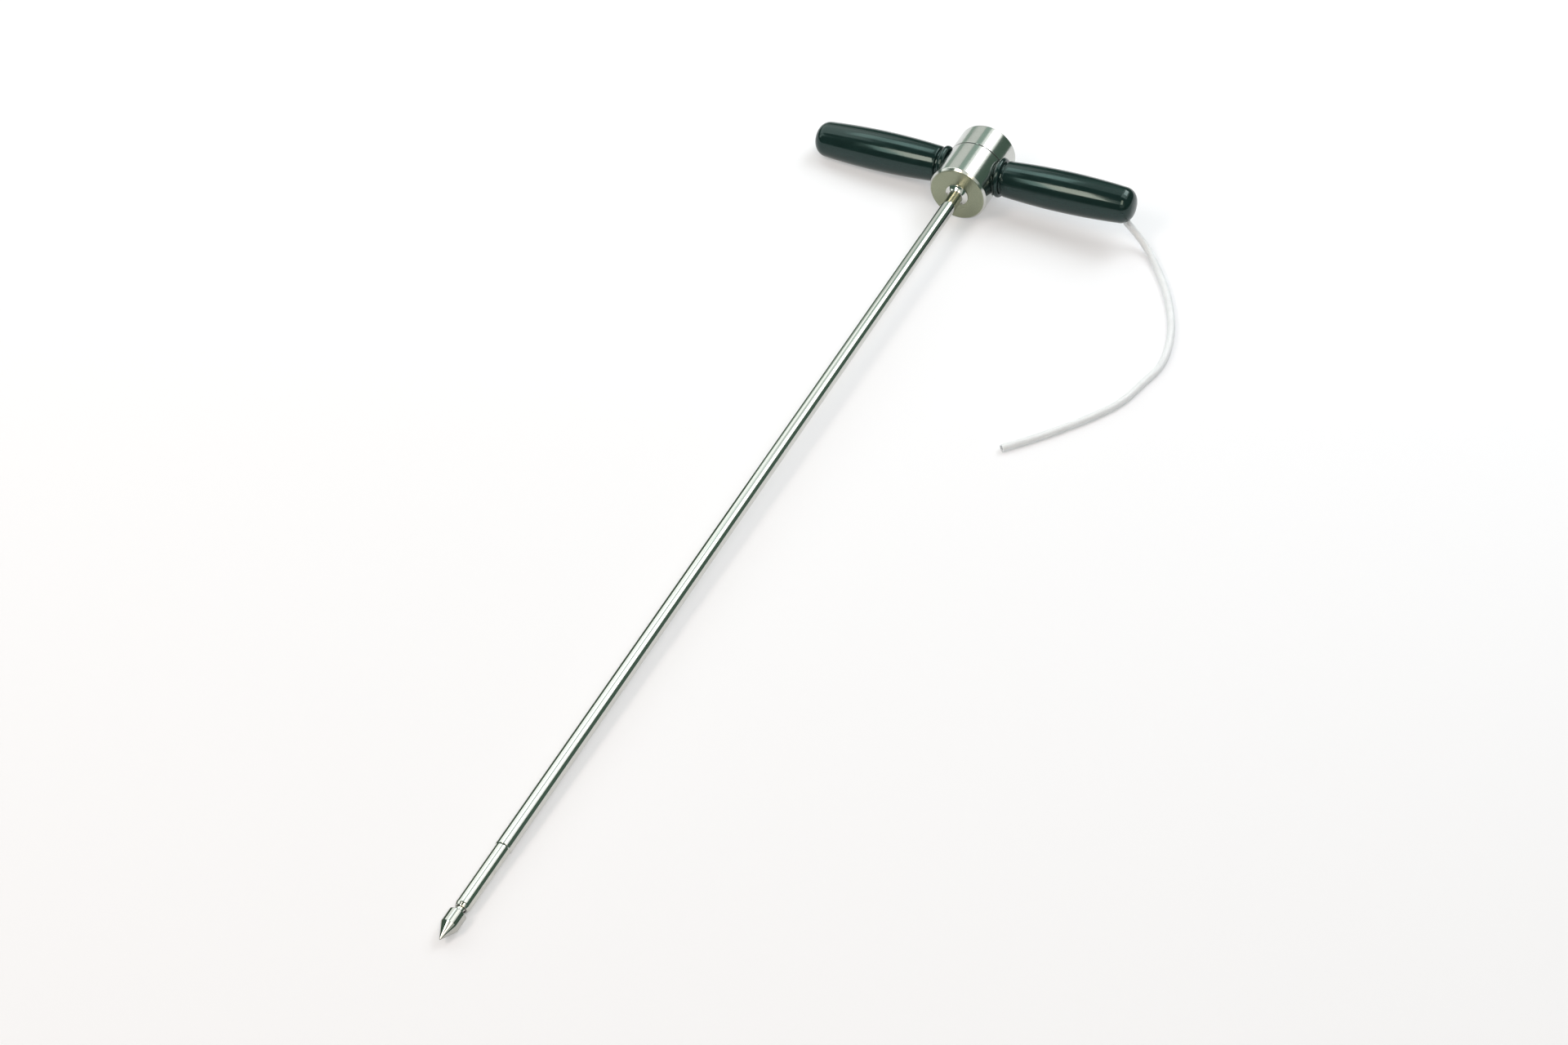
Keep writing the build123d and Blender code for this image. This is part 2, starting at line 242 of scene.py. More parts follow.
class Finishes(bpy.types.PropertyGroup):
    """Colours and gloss of the probe's materials."""

    tube_steel: colour("Tube steel", "Polished tube and collar", (0.61, 0.61, 0.58))
    hub_steel: colour("Hub steel", "Turned side of the hub", (0.582, 0.589, 0.561))
    # The hub face's dark tone is partly the satin faces' own and partly painted shade, for the shaded floor
    # under the hub that the lower face mirrors.
    hub_face: colour("Hub face", "Satin end faces of the hub", (0.295, 0.315, 0.226))
    head_steel: colour("Head steel", "Sampling head and cone tip", (0.61, 0.61, 0.57))
    inner_steel: colour("Inner steel", "Spindles and ferrule", (0.50, 0.50, 0.50))
    brass: colour("Brass", "Nipple and inserts", (0.72, 0.50, 0.20))
    grip_plastic: colour("Grip plastic", "Moulded grips", (0.0062, 0.0165, 0.0160))
    hose_plastic: colour("Hose plastic", "Milky hose", (0.78, 0.825, 0.85))
    rubber: colour("Rubber", "Outlet bush and seals", (0.022, 0.024, 0.024))
    grip_sheen: colour("Grip sheen", "Tint of the grips' gloss", (0.74, 1.0, 0.95))
    soil: colour("Soil", "Soil in the hub's ring and pits", (0.02, 0.02, 0.018))
    scuff: colour("Scuffs", "Rubbed places on the grips", (0.05, 0.062, 0.058))
    dust: colour("Dust", "Dust in the rubber's grain", (0.075, 0.078, 0.072))
    tube_gloss: share("Tube roughness", "Roughness of the polished tube", 0.05)
    hub_gloss: share("Hub roughness", "Roughness of the hub's side", 0.125)
    face_gloss: share("Hub face roughness", "Roughness of the hub's faces", 0.22)
    inner_gloss: share("Inner steel roughness", "Roughness of the spindles and ferrule", 0.28)
    brass_gloss: share("Brass roughness", "Roughness of the nipple and inserts", 0.26)
    grip_gloss: share("Grip roughness", "Roughness of the grips", 0.10)
    hose_gloss: share("Hose roughness", "Roughness of the hose", 0.34)
    rubber_gloss: share("Rubber roughness", "Roughness of the bush and seals", 0.62)


class StageSettings(bpy.types.PropertyGroup):
    """The table, the lamps and the camera."""

    floor: colour("Floor", "Pale floor", (0.86, 0.89, 0.925))
    floor_white: share("Floor white", "Share of plain white in the floor as it is seen", 0.34)
    room: colour("Room", "Dark room that polished metal mirrors", (0.089, 0.146, 0.112))
    # The card's tint is painted shade, shown only in polished surfaces, for the shaded floor beside the tube.
    card: colour("Card", "Low dark card beside the tube", (0.072, 0.115, 0.072))
    fill: share("Fill", "Weak light from all round", 0.04)
    lens: bpy.props.FloatProperty(
        name="Lens", description="Camera's focal length", default=62.54, min=1.0, unit="CAMERA"
    )


class ProbeSettings(bpy.types.PropertyGroup):
    """All settings of the probe."""

    hub: group(HubSizes, "Hub", "Hub sizes")
    tube: group(TubeSizes, "Tube", "Tube sizes")
    tip: group(TipSizes, "Tip", "Head and tip sizes")
    grip: group(GripSizes, "Grips", "Grip sizes")
    hose: group(HoseSizes, "Hose", "Hose sizes")
    finish: group(Finishes, "Finishes", "Colours and gloss")
    stage: group(StageSettings, "Stage", "Floor, lamps and camera")


# Outlines of turned pieces, as (radius, height) stations

# A supporting station's distance from the end of a long straight run.
SUPPORT = 0.5 * MM

# Gap in radius between screwed or pressed pieces.
FIT = 0.05 * MM

# Rings along the tube.
TUBE_RINGS = 24


def arc(centre, radius, start, end, steps):
    """Points on an arc between two angles, both ends included."""
    angles = [start + (end - start) * step / steps for step in range(steps + 1)]
    return [(centre[0] + radius * math.cos(a), centre[1] + radius * math.sin(a)) for a in angles]


def circle_through(a, b, c):
    """Centre and radius of the circle through three points."""
    ax, ay, bx, by, cx, cy = *a, *b, *c
    twice = 2 * (ax * (by - cy) + bx * (cy - ay) + cx * (ay - by))
    squares = [x * x + y * y for x, y in (a, b, c)]
    x = (squares[0] * (by - cy) + squares[1] * (cy - ay) + squares[2] * (ay - by)) / twice
    y = (squares[0] * (cx - bx) + squares[1] * (ax - cx) + squares[2] * (bx - ax)) / twice
    return (x, y), math.dist((x, y), a)


def angle_from(centre, point):
    """Angle of a point seen from a centre."""
    return math.atan2(point[1] - centre[1], point[0] - centre[0])


def outer_meeting(centre_a, reach_a, centre_b, reach_b):
    """The outer of the two points at given distances from two centres."""
    gap = math.dist(centre_a, centre_b)
    along = (gap * gap + reach_a * reach_a - reach_b * reach_b) / (2 * gap)
    aside = math.sqrt(reach_a * reach_a - along * along)
    way_x, way_y = ((q - p) / gap for p, q in zip(centre_a, centre_b))
    ends = [
        (centre_a[0] + way_x * along - way_y * side, centre_a[1] + way_y * along + way_x * side)
        for side in (aside, -aside)
    ]
    return max(ends)


def supported(outline):
    """Add stations close to both ends of long straight runs, so that they stay straight when shaded."""
    stations = outline[:1]
    for here, there in zip(outline, outline[1:]):
        run = math.dist(here, there)
        if run > 4 * SUPPORT:
            for part in (SUPPORT / run, 1 - SUPPORT / run):
                stations.append(tuple(p + (q - p) * part for p, q in zip(here, there)))
        stations.append(there)
    return stations


def hub_outline(s):
    """Hub's section with its chamber and the plug's recess."""
    side, hole, plug, chamber = s.diameter / 2, s.hole / 2, s.plug / 2, s.chamber / 2
    recess = s.height - s.plug_depth - s.seal
    ring_low, ring_high = s.ring_height - s.ring_width / 2, s.ring_height + s.ring_width / 2
    ring_slope = s.ring_width / 3
    return [
        (hole, 0.0),
        (side - s.bevel, 0.0),
        (side, s.bevel),
        (side, ring_low),
        (side - s.ring_depth, ring_low + ring_slope),
        (side - s.ring_depth, ring_high - ring_slope),
        (side, ring_high),
        (side, s.height - s.bevel),
        (side - s.bevel, s.height),
        (plug, s.height),
        (plug, recess),
        (chamber, recess),
        (chamber, s.floor),
        (hole, s.floor),
        (hole, 0.0),
    ]


def rod_outline(diameter, low, high):
    """Plain rod between two heights."""
    return [(0.0, low), (diameter / 2, low), (diameter / 2, high), (0.0, high)]


def seat_place(s):
    """Where the grips' seats lie on the T-bar, from the tube's axis."""
    return s.diameter / 2 - s.seat_depth


def seat_cutter_outline(s):
    """Cutter for both seats and for the spindles' holes, along the T-bar."""
    seat = seat_place(s)
    half = [(0.0, s.diameter), (s.seat / 2, s.diameter), (s.seat / 2, seat), (s.hole / 2, seat)]
    return half + [(radius, -place) for radius, place in reversed(half)]


def plug_outline(s):
    """Striking plug's section, from its lower face to its crown."""
    thread, crown = s.plug / 2 - FIT, s.crown / 2
    top = s.height + s.crown_height
    return [
        (0.0, s.height - s.plug_depth),
        (thread, s.height - s.plug_depth),
        (thread, s.height),
        (crown, s.height),
        (crown, top - s.crown_bevel),
        (crown - s.crown_bevel, top),
        (0.0, top),
    ]


def tube_outline(s, hub_floor):
    """Tube's wall, with rings along its length."""
    shares = [ring / TUBE_RINGS for ring in range(TUBE_RINGS + 1)]
    outer = s.diameter / 2
    inner = outer - s.wall
    low = -s.reach
    start = low + s.end_bevel
    skin = [(outer, hub_floor + (start - hub_floor) * part) for part in shares]
    bore = [(inner, low + (hub_floor - low) * part) for part in shares]
    return skin + [(outer - s.end_bevel, low)] + bore + skin[:1]


def collar_outline(s):
    """Collar's section with its dished flank."""
    inner = s.diameter / 2 + FIT
    rim = (s.collar / 2, -s.collar_rim)
    runout = (s.diameter / 2 + s.collar_lip, -s.collar_height)
    chord = math.dist(rim, runout)
    inward = ((runout[1] - rim[1]) / chord, (rim[0] - runout[0]) / chord)
    hollow = tuple((p + q) / 2 + n * s.collar_hollow for p, q, n in zip(rim, runout, inward))
    centre, radius = circle_through(rim, hollow, runout)
    flank = arc(centre, radius, angle_from(centre, rim), angle_from(centre, runout), steps=14)
    return [(inner, 0.0), (s.collar / 2, 0.0), *flank, (inner, -s.collar_height), (inner, 0.0)]


def head_outline(s, head_top):
    """Sampling head with its mouth, guide and spigot."""
    end = head_top - s.head_length
    mouth_top = end + s.mouth_depth
    guide_top = mouth_top + s.guide_length
    spigot_top = head_top + s.spigot_length
    return [
        (s.mouth / 2, end),
        (s.head / 2 - s.head_bevel_depth, end),
        (s.head / 2, end + s.head_bevel_length),
        (s.head / 2, end + s.head_length / 2),
        (s.head / 2, head_top),
        (s.spigot / 2, head_top),
        (s.spigot / 2, spigot_top),
        (s.spigot_bore / 2, spigot_top),
        (s.spigot_bore / 2, guide_top),
        (s.guide / 2, guide_top),
        (s.guide / 2, mouth_top),
        (s.mouth / 2, mouth_top),
        (s.mouth / 2, end),
    ]


def cone_outline(s, head_end):
    """Cone, neck and hollow stem."""
    rear = head_end - s.gap
    shoulder = rear - s.barrel
    point = shoulder - s.taper
    neck_top = head_end + s.neck_hidden
    stem_top = head_end + s.stem_top
    bore_end = (rear + head_end) / 2
    return [
        (0.0, point),
        (s.point / 2, point),
        (s.cone / 2, shoulder),
        (s.cone / 2, rear - s.cone_bevel),
        (s.cone / 2 - s.cone_bevel, rear),
        (s.neck / 2, rear),
        (s.neck / 2, neck_top),
        (s.stem / 2, neck_top),
        (s.stem / 2, stem_top),
        (s.stem_bore / 2, stem_top),
        (s.stem_bore / 2, bore_end),
        (0.0, bore_end),
    ]


def grip_outline(s, seat):
    """Grip's skin and hollow along the T-bar: crowned end, barrel, groove, bead, bore."""
    groove = s.groove / 2
    end = seat + s.reach
    bead_end = seat + s.bead_width
    start = bead_end + s.groove_width
    crown_centre = (end - s.crown, 0.0)
    shoulder = (crown_centre[0] + math.sqrt(s.crown**2 - (s.end / 2) ** 2), s.end / 2)
    belly = (seat + s.belly_place, s.belly / 2)
    barrel_centre, barrel = circle_through((start, s.neck / 2), belly, shoulder)
    corner_centre = outer_meeting(barrel_centre, barrel - s.corner, crown_centre, s.crown - s.corner)
    crown_turn = angle_from(crown_centre, corner_centre)
    barrel_turn = angle_from(barrel_centre, corner_centre)
    edge_x = start + s.neck_edge
    edge_y = barrel_centre[1] + math.sqrt((barrel - s.neck_edge) ** 2 - (edge_x - barrel_centre[0]) ** 2)
    edge_turn = angle_from(barrel_centre, (edge_x, edge_y))
    bead_middle = ((seat + bead_end) / 2, (s.bead - s.bead_width) / 2)
    skin = [
        *arc(crown_centre, s.crown, 0.0, crown_turn, steps=10),
        *arc(corner_centre, s.corner, crown_turn, barrel_turn, steps=18)[1:],
        *arc(barrel_centre, barrel, barrel_turn, edge_turn, steps=44)[1:],
        *arc((edge_x, edge_y), s.neck_edge, edge_turn, math.pi, steps=6)[1:],
        (start, groove),
        (bead_end, groove),
        *arc(bead_middle, s.bead_width / 2, 0.0, math.pi, steps=18),
    ]
    pocket_start = seat + s.bore_depth
    pocket_end = pocket_start + s.pocket_length
    core_end = end - s.solid_end
    hollow = [
        (seat, s.bore / 2),
        (pocket_start, s.bore / 2),
        (pocket_start, s.pocket / 2),
        (pocket_end, s.pocket / 2),
        (pocket_end, s.core / 2),
        (core_end, s.core / 2),
        (core_end, 0.0),
    ]
    return [(radius, place) for place, radius in skin + hollow]


def outlet_knee(hub, grip):
    """Place on the T-bar where the outlet's slanted axis starts."""
    return seat_place(hub) + grip.reach - grip.outlet_knee


def outlet_reach(hub, grip):
    """Distance along the outlet's axis from its knee to the grip's skin."""
    cosine, sine = math.cos(grip.outlet_angle), math.sin(grip.outlet_angle)
    stations = []
    for radius, place_on_bar in grip_outline(grip, seat_place(hub)):
        past_knee = place_on_bar - outlet_knee(hub, grip)
        stations.append((past_knee * sine - radius * cosine, past_knee * cosine + radius * sine))
    for (aside, reach), (next_aside, next_reach) in zip(stations, stations[1:]):
        if aside > 0 >= next_aside:
            return reach + (next_reach - reach) * aside / (aside - next_aside)
    raise RuntimeError("the outlet's axis doesn't cross the grip's skin")


# Modelling by hand, in code

# Points that are nearer than this are one point.
WELD = 0.002 * MM

# Edges sharper than the first angle are rounded, and those sharper than the second are shaded sharp.
EDGE_ANGLE = math.radians(28)
SMOOTH_ANGLE = math.radians(26)

# Facets round the turned pieces and their cutters. The head and the cone have as many as the tube.
HUB_FACETS = 192
PLUG_FACETS = 144
GRIP_FACETS = 128
COLLAR_FACETS = 128
TUBE_FACETS = 96
OUTLET_FACETS = 64
DRILL_FACETS = 48

# Steps between two control points of the hose's line, and how finely the hose is rounded.
HOSE_STEPS = 12
HOSE_ROUNDING = 10


def deselect():
    """Leave nothing selected."""
    bpy.ops.object.select_all(action="DESELECT")


def pick(piece):
    """Make one piece the only one selected, and active."""
    deselect()
    piece.select_set(True)
    bpy.context.view_layer.objects.active = piece


def weld(piece):
    """Merge the points that fall together and face all faces outwards."""
    pick(piece)
    bpy.ops.object.mode_set(mode="EDIT")
    bpy.ops.mesh.select_all(action="SELECT")
    bpy.ops.mesh.remove_doubles(threshold=WELD)
    bpy.ops.mesh.dissolve_degenerate(threshold=WELD)
    bpy.ops.mesh.normals_make_consistent(inside=False)
    bpy.ops.object.mode_set(mode="OBJECT")


def turn(name, outline, facets, edge=0.0):
    """Turn an outline of (radius, height) stations round +Z into a piece, and round its sharp edges."""
    deselect()
    radius, height = outline[0]
    bpy.ops.mesh.primitive_plane_add(size=MM, location=(radius, 0.0, height), enter_editmode=True)
    bpy.ops.mesh.merge(type="CENTER")
    for here, there in zip(outline, outline[1:]):
        step = (there[0] - here[0], 0.0, there[1] - here[1])
        bpy.ops.mesh.extrude_vertices_move(TRANSFORM_OT_translate={"value": step})
    bpy.ops.mesh.select_all(action="SELECT")
    bpy.ops.mesh.spin(steps=facets, angle=math.tau, center=(0.0, 0.0, 0.0), axis=(0.0, 0.0, 1.0))
    bpy.ops.object.mode_set(mode="OBJECT")
    piece = bpy.context.object
    piece.name = piece.data.name = name
    weld(piece)
    bpy.ops.object.transform_apply(location=True, rotation=True, scale=True)
    if edge:
        modify(piece, "BEVEL", width=edge, segments=2, limit_method="ANGLE", angle_limit=EDGE_ANGLE)
    return piece


def modify(piece, kind, **settings):
    """Add a modifier with its settings and apply it."""
    pick(piece)
    bpy.ops.object.modifier_add(type=kind)
    modifier = piece.modifiers[-1]
    for key, value in settings.items():
        setattr(modifier, key, value)
    bpy.ops.object.modifier_apply(modifier=modifier.name)


def cut(piece, cutter):
    """Cut one piece out of another and drop the cutter."""
    modify(piece, "BOOLEAN", operation="DIFFERENCE", solver="EXACT", object=cutter)
    bpy.data.objects.remove(cutter)
    if not piece.data.polygons:
        raise RuntimeError(f"cutting {piece.name} left nothing of it")
    weld(piece)


def place(piece, axes):
    """Move a piece by a matrix and put its place into its mesh."""
    pick(piece)
    piece.matrix_world = axes @ piece.matrix_world
    bpy.ops.object.transform_apply(location=True, rotation=True, scale=True)


def finish_piece(piece, material, body, node):
    """Shade a piece, give it its material and tie it to the frame in place of a solid."""
    pick(piece)
    bpy.ops.object.shade_smooth_by_angle(angle=SMOOTH_ANGLE)
    piece.data.materials.clear()
    piece.data.materials.append(material)
    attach(piece, body)
    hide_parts(node)


def bar_axes(hub, side):
    """Matrix that lays a piece turned on +Z along the T-bar, to the right for side 1 or the left for -1."""
    up_to_bar = Matrix.Translation((0.0, 0.0, hub.bar_height))
    return PROBE @ up_to_bar @ Matrix.Rotation(side * math.pi / 2, 4, "Y")


# Materials

class Value:
    """A socket in a node tree; arithmetic on it adds Math nodes."""

    def __init__(self, graph, socket):
        self.graph = graph
        self.socket = socket

    def maths(self, operation, *values):
        """Add one Math node."""
        return self.graph.node("ShaderNodeMath", {"operation": operation}, dict(enumerate(values)))

    def __add__(self, other):
        return self.maths("ADD", self, other)

    __radd__ = __add__

    def __sub__(self, other):
        return self.maths("SUBTRACT", self, other)

    def __rsub__(self, other):
        return self.maths("SUBTRACT", other, self)

    def __mul__(self, other):
        return self.maths("MULTIPLY", self, other)

    __rmul__ = __mul__

    def __abs__(self):
        return self.maths("ABSOLUTE", self)

    def highest(self, other):
        """The larger of two values."""
        return self.maths("MAXIMUM", self, other)

    def rise(self, low, high):
        """0 below low, 1 above high, smooth between; low may be the larger."""
        if low > high:
            return 1 - self.rise(high, low)
        inputs = {"Value": self, "From Min": low, "From Max": high}
        return self.graph.node("ShaderNodeMapRange", {"interpolation_type": "SMOOTHSTEP"}, inputs)


class Graph:
    """The nodes of one material or world, with one way to add a node."""

    def __init__(self, owner):
        owner.use_nodes = True
        self.owner = owner
        self.nodes = owner.node_tree.nodes
        self.links = owner.node_tree.links
        self.nodes.clear()

    def node(self, kind, settings=None, inputs=None, output=0):
        """Add a node, set it up, then feed its sockets with numbers or links."""
        made = self.nodes.new(kind)
        for key, value in (settings or {}).items():
            setattr(made, key, value)
        for key, value in (inputs or {}).items():
            if isinstance(value, Value):
                self.links.new(value.socket, made.inputs[key])
            else:
                made.inputs[key].default_value = value
        return Value(self, made.outputs[output]) if made.outputs else None

    def mix(self, factor, a, b):
        """Blend two colours."""
        full = [c if isinstance(c, Value) else (*c, 1.0) for c in (a, b)]
        return self.node("ShaderNodeMix", {"data_type": "RGBA"}, {0: factor, 6: full[0], 7: full[1]}, 2)

    def scaled(self, vector, scale):
        """Stretch a vector along its three axes."""
        return self.node("ShaderNodeVectorMath", {"operation": "MULTIPLY"}, {0: vector, 1: scale})

    def noise(self, vector, scale, detail=2.0, rough=0.5):
        """Soft noise from 0 to 1, with one scale or one for each axis."""
        if isinstance(scale, tuple):
            vector, scale = self.scaled(vector, scale), 1.0
        inputs = {"Vector": vector, "Scale": scale, "Detail": detail, "Roughness": rough}
        return self.node("ShaderNodeTexNoise", None, inputs)

    def rings(self, vector, scale):
        """Noise in fine rings round the Z axis."""
        inputs = {"W": self.off_axis(vector) * scale, "Scale": 1.0}
        return self.node("ShaderNodeTexNoise", {"noise_dimensions": "1D"}, inputs)

    def specks(self, vector, scale, size, share_kept):
        """Small round spots, one in some of the cells."""
        settings = {"feature": "F1"}
        inputs = {"Vector": vector, "Scale": scale}
        near = self.node("ShaderNodeTexVoronoi", settings, inputs, "Distance")
        tint = self.node("ShaderNodeTexVoronoi", settings, inputs, "Color")
        chance = self.node("ShaderNodeSeparateColor", None, {"Color": tint})
        return near.rise(size, size * 0.45) * chance.rise(1 - share_kept - 0.001, 1 - share_kept)

    def axes(self, matrix):
        """Object coordinates turned into axes given by a matrix."""
        seen = self.node("ShaderNodeTexCoord", output="Object")
        back = matrix.inverted()
        inputs = {"Vector": seen, "Location": back.translation, "Rotation": back.to_euler()}
        return self.node("ShaderNodeMapping", {"vector_type": "POINT"}, inputs)

    def parts(self, vector):
        """The three numbers of a vector."""
        split = self.node("ShaderNodeSeparateXYZ", None, {"Vector": vector})
        return [Value(self, socket) for socket in split.socket.node.outputs]

    def off_axis(self, vector):
        """Distance from the Z axis."""
        flat = self.scaled(vector, (1.0, 1.0, 0.0))
        return self.node("ShaderNodeVectorMath", {"operation": "LENGTH"}, {0: flat}, "Value")

    def bump(self, height, depth):
        """Normal from a height, with the depth of 0 to 1 in metres."""
        return self.node("ShaderNodeBump", None, {"Strength": 1.0, "Distance": depth, "Height": height})

    def surface(self, **inputs):
        """Principled surface, with socket names written with underscores."""
        named = {key.replace("_", " "): value for key, value in inputs.items()}
        shader = self.node("ShaderNodeBsdfPrincipled", None, named)
        self.node("ShaderNodeOutputMaterial", None, {"Surface": shader})
        return self.owner

    def metal(self, base, rough, relief, depth):
        """Metal surface with a bumped relief, whose depth is in metres."""
        return self.surface(Base_Color=base, Metallic=1.0, Roughness=rough, Normal=self.bump(relief, depth))


def new_graph(name):
    """Empty node tree of a new material."""
    return Graph(bpy.data.materials.new(name))


def shade(colour_setting, amount):
    """A colour made darker or lighter by a factor."""
    return tuple(min(1.0, part * amount) for part in colour_setting)


def drawn_tube_steel(finish, reach):
    """Polished tube: faint drawing lines along it, rubbed patches, soil scratches near its lower end."""
    g = new_graph("drawn_tube_steel")
    p = g.axes(PROBE)
    along = g.parts(p)[2]
    lines = g.noise(p, (5200.0, 5200.0, 9.0), 3.0, 0.6)
    rubbed = g.noise(p, (150.0, 150.0, 26.0), 3.0)
    scratch = g.noise(p, (2600.0, 2600.0, 34.0), 2.0, 0.7).rise(0.66, 0.72)
    worn = along.rise(-0.35 * reach, -reach) * scratch
    stain = rubbed.rise(0.45, 0.75)
    rough = finish.tube_gloss + 0.03 * lines + 0.05 * stain + 0.12 * worn
    base = g.mix(stain * 0.22, finish.tube_steel, shade(finish.tube_steel, 0.82))
    base = g.mix(worn * 0.35, base, shade(finish.tube_steel, 0.55))
    return g.metal(base, rough, lines + worn * 0.8, 0.0012 * MM)


def turned_hub_steel(finish, hub):
    """Hub: fine turning lines on its side, satin speckled end faces that are darker partly as painted shade,
    soil in its scribed ring, a few pits.
    """
    g = new_graph("turned_hub_steel")
    p = g.axes(PROBE)
    along = g.parts(p)[2]
    fade_start, fade_end = 0.7 * MM, 0.1 * MM
    top = along.rise(hub.height - fade_start, hub.height - fade_end)
    face = along.rise(fade_start, fade_end).highest(top)
    in_ring = abs(along - hub.ring_height).rise(0.80 * hub.ring_width, 0.35 * hub.ring_width)
    soil = in_ring * g.noise(p, 260.0, 2.0).rise(0.24, 0.48)
    lines = g.noise(p, (90.0, 90.0, 9000.0), 2.0, 0.6)
    rings = g.rings(p, 6200.0)
    grain = g.noise(p, 1600.0, 3.0, 0.7)
    cloud = g.noise(p, 95.0, 3.0)
    pits = g.specks(p, 210.0, 0.14, 0.07)
    side_colour = g.mix(cloud * 0.30, finish.hub_steel, shade(finish.hub_steel, 0.84))
    # The end faces' dark colour is partly painted shade, for the shaded floor that the lower face mirrors.
    face_colour = g.mix(grain.rise(0.32, 0.70), shade(finish.hub_face, 0.68), shade(finish.hub_face, 1.30))
    side_colour = g.mix(grain.rise(0.35, 0.70) * 0.24, side_colour, shade(finish.hub_steel, 0.6))
    base = g.mix(face, side_colour, face_colour)
    base = g.mix((pits * 0.85).highest(soil * 0.95), base, finish.soil)
    side_rough = finish.hub_gloss + 0.025 * lines + 0.035 * cloud
    face_rough = finish.face_gloss + 0.10 * grain
    rough = side_rough + face * (face_rough - side_rough) + pits.highest(soil) * 0.25
    relief = (1 - face) * lines * 0.5 + face * (rings * 0.6 + grain * 1.6) - pits * 6.0
    return g.metal(base, rough, relief, 0.0035 * MM)


def struck_plug_steel(finish, top):
    """Striking plug: turned rings under the bruises of hammer blows."""
    g = new_graph("struck_plug_steel")
    p = g.axes(PROBE)
    crown = g.parts(p)[2].rise(top - 1.2 * MM, top - 0.4 * MM)
    rings = g.rings(p, 5200.0)
    blows = g.noise(p, 520.0, 3.0, 0.6)
    struck = crown * g.off_axis(p).rise(15.0 * MM, 6.0 * MM) * blows.rise(0.30, 0.75)
    grain = g.noise(p, 1300.0, 3.0, 0.65)
    # The plug's colour starts from the hub face's colour, which carries painted shade.
    base = g.mix(struck, shade(finish.hub_face, 1.05), shade(finish.hub_face, 1.45))
    base = g.mix(grain.rise(0.55, 0.8) * 0.35, base, shade(finish.hub_face, 0.6))
    rough = finish.face_gloss + 0.12 * grain + 0.06 * struck
    relief = rings * 0.04 + struck * blows * 0.5 + grain * 0.05
    return g.metal(base, rough, relief, 0.05 * MM)


def turned_tip_steel(finish, tip, low):
    """Sampling head and cone, the cone darkened as painted shade: turning lines, and scratches along it where
    soil has rubbed.
    """
    g = new_graph("turned_tip_steel")
    p = g.axes(PROBE)
    along = g.parts(p)[2]
    lines = g.noise(p, (140.0, 140.0, 8200.0), 2.0, 0.6)
    scratch = g.noise(p, (2100.0, 2100.0, 75.0), 2.0, 0.7).rise(0.62, 0.70)
    rubbed = g.noise(p, 210.0, 3.0)
    cone_rear = low + tip.taper + tip.barrel
    cone_shade = along.rise(cone_rear + tip.gap / 2, cone_rear)
    near_point = along.rise(low + 60.0 * MM, low)
    worn = scratch * (0.35 + 0.65 * near_point)
    # Painted shade: the cone's colour is darker than the head's, for the shaded floor that its flank mirrors.
    base = g.mix(cone_shade, finish.head_steel, shade(finish.head_steel, 0.80))
    base = g.mix(rubbed.rise(0.4, 0.75) * 0.30, base, shade(finish.head_steel, 0.64))
    base = g.mix(worn * 0.30, base, shade(finish.head_steel, 0.45))
    rough = finish.tube_gloss + 0.03 * lines + 0.04 * rubbed + 0.14 * worn
    return g.metal(base, rough, lines * 0.7 + worn, 0.0016 * MM)


def moulded_grip_plastic(finish, hub, grip):
    """Grips: glossy green-black moulding with faint orange peel, hand smears and scuffed ends."""
    g = new_graph("moulded_grip_plastic")
    p = g.axes(PROBE @ Matrix.Translation((0.0, 0.0, hub.bar_height)))
    from_hub = abs(g.parts(p)[0])
    grip_end = seat_place(hub) + grip.reach
    peel = g.noise(p, 750.0, 2.0, 0.5)
    smear = g.noise(p, (55.0, 120.0, 120.0), 3.0, 0.6)
    scuff = g.noise(p, (420.0, 1500.0, 1500.0), 3.0, 0.7).rise(0.60, 0.68)
    at_end = from_hub.rise(grip_end - 22.0 * MM, grip_end - 2.0 * MM)
    worn = scuff * (0.10 + 0.55 * at_end)
    base = g.mix(smear.rise(0.35, 0.8) * 0.5, finish.grip_plastic, shade(finish.grip_plastic, 1.6))
    base = g.mix(worn * 0.30, base, finish.scuff)
    rough = finish.grip_gloss + 0.07 * smear.rise(0.4, 0.75) + 0.25 * worn
    return g.surface(
        Base_Color=base,
        Roughness=rough,
        Normal=g.bump(peel - worn * 0.3, 0.004 * MM),
        IOR=1.49,
        Specular_Tint=(*finish.grip_sheen, 1.0),
    )


def milky_hose_plastic(finish):
    """Hose: milky plastic with clouds and fine grain in its wall."""
    g = new_graph("milky_hose_plastic")
    p = g.node("ShaderNodeTexCoord", output="Object")
    cloud = g.noise(p, 120.0, 3.0)
    grain = g.noise(p, 1300.0, 2.0, 0.6)
    dimmed = cloud.rise(0.35, 0.7) * 0.35 + grain.rise(0.45, 0.7) * 0.35
    return g.surface(
        Base_Color=g.mix(dimmed, finish.hose_plastic, shade(finish.hose_plastic, 0.88)),
        Roughness=finish.hose_gloss + 0.12 * grain,
        Normal=g.bump(grain, 0.006 * MM),
        IOR=1.45,
        Subsurface_Weight=0.35,
        Subsurface_Radius=(1.0, 1.0, 1.0),
        Subsurface_Scale=1.2 * MM,
    )


def plain_metal(name, tint, rough):
    """Hidden metal: turned, with fine grain and some tarnish."""
    g = new_graph(name)
    p = g.axes(PROBE)
    grain = g.noise(p, 1800.0, 3.0, 0.6)
    cloud = g.noise(p, 160.0, 3.0)
    base = g.mix(cloud * 0.5, tint, shade(tint, 0.7))
    return g.metal(base, rough + 0.12 * grain, grain, 0.003 * MM)


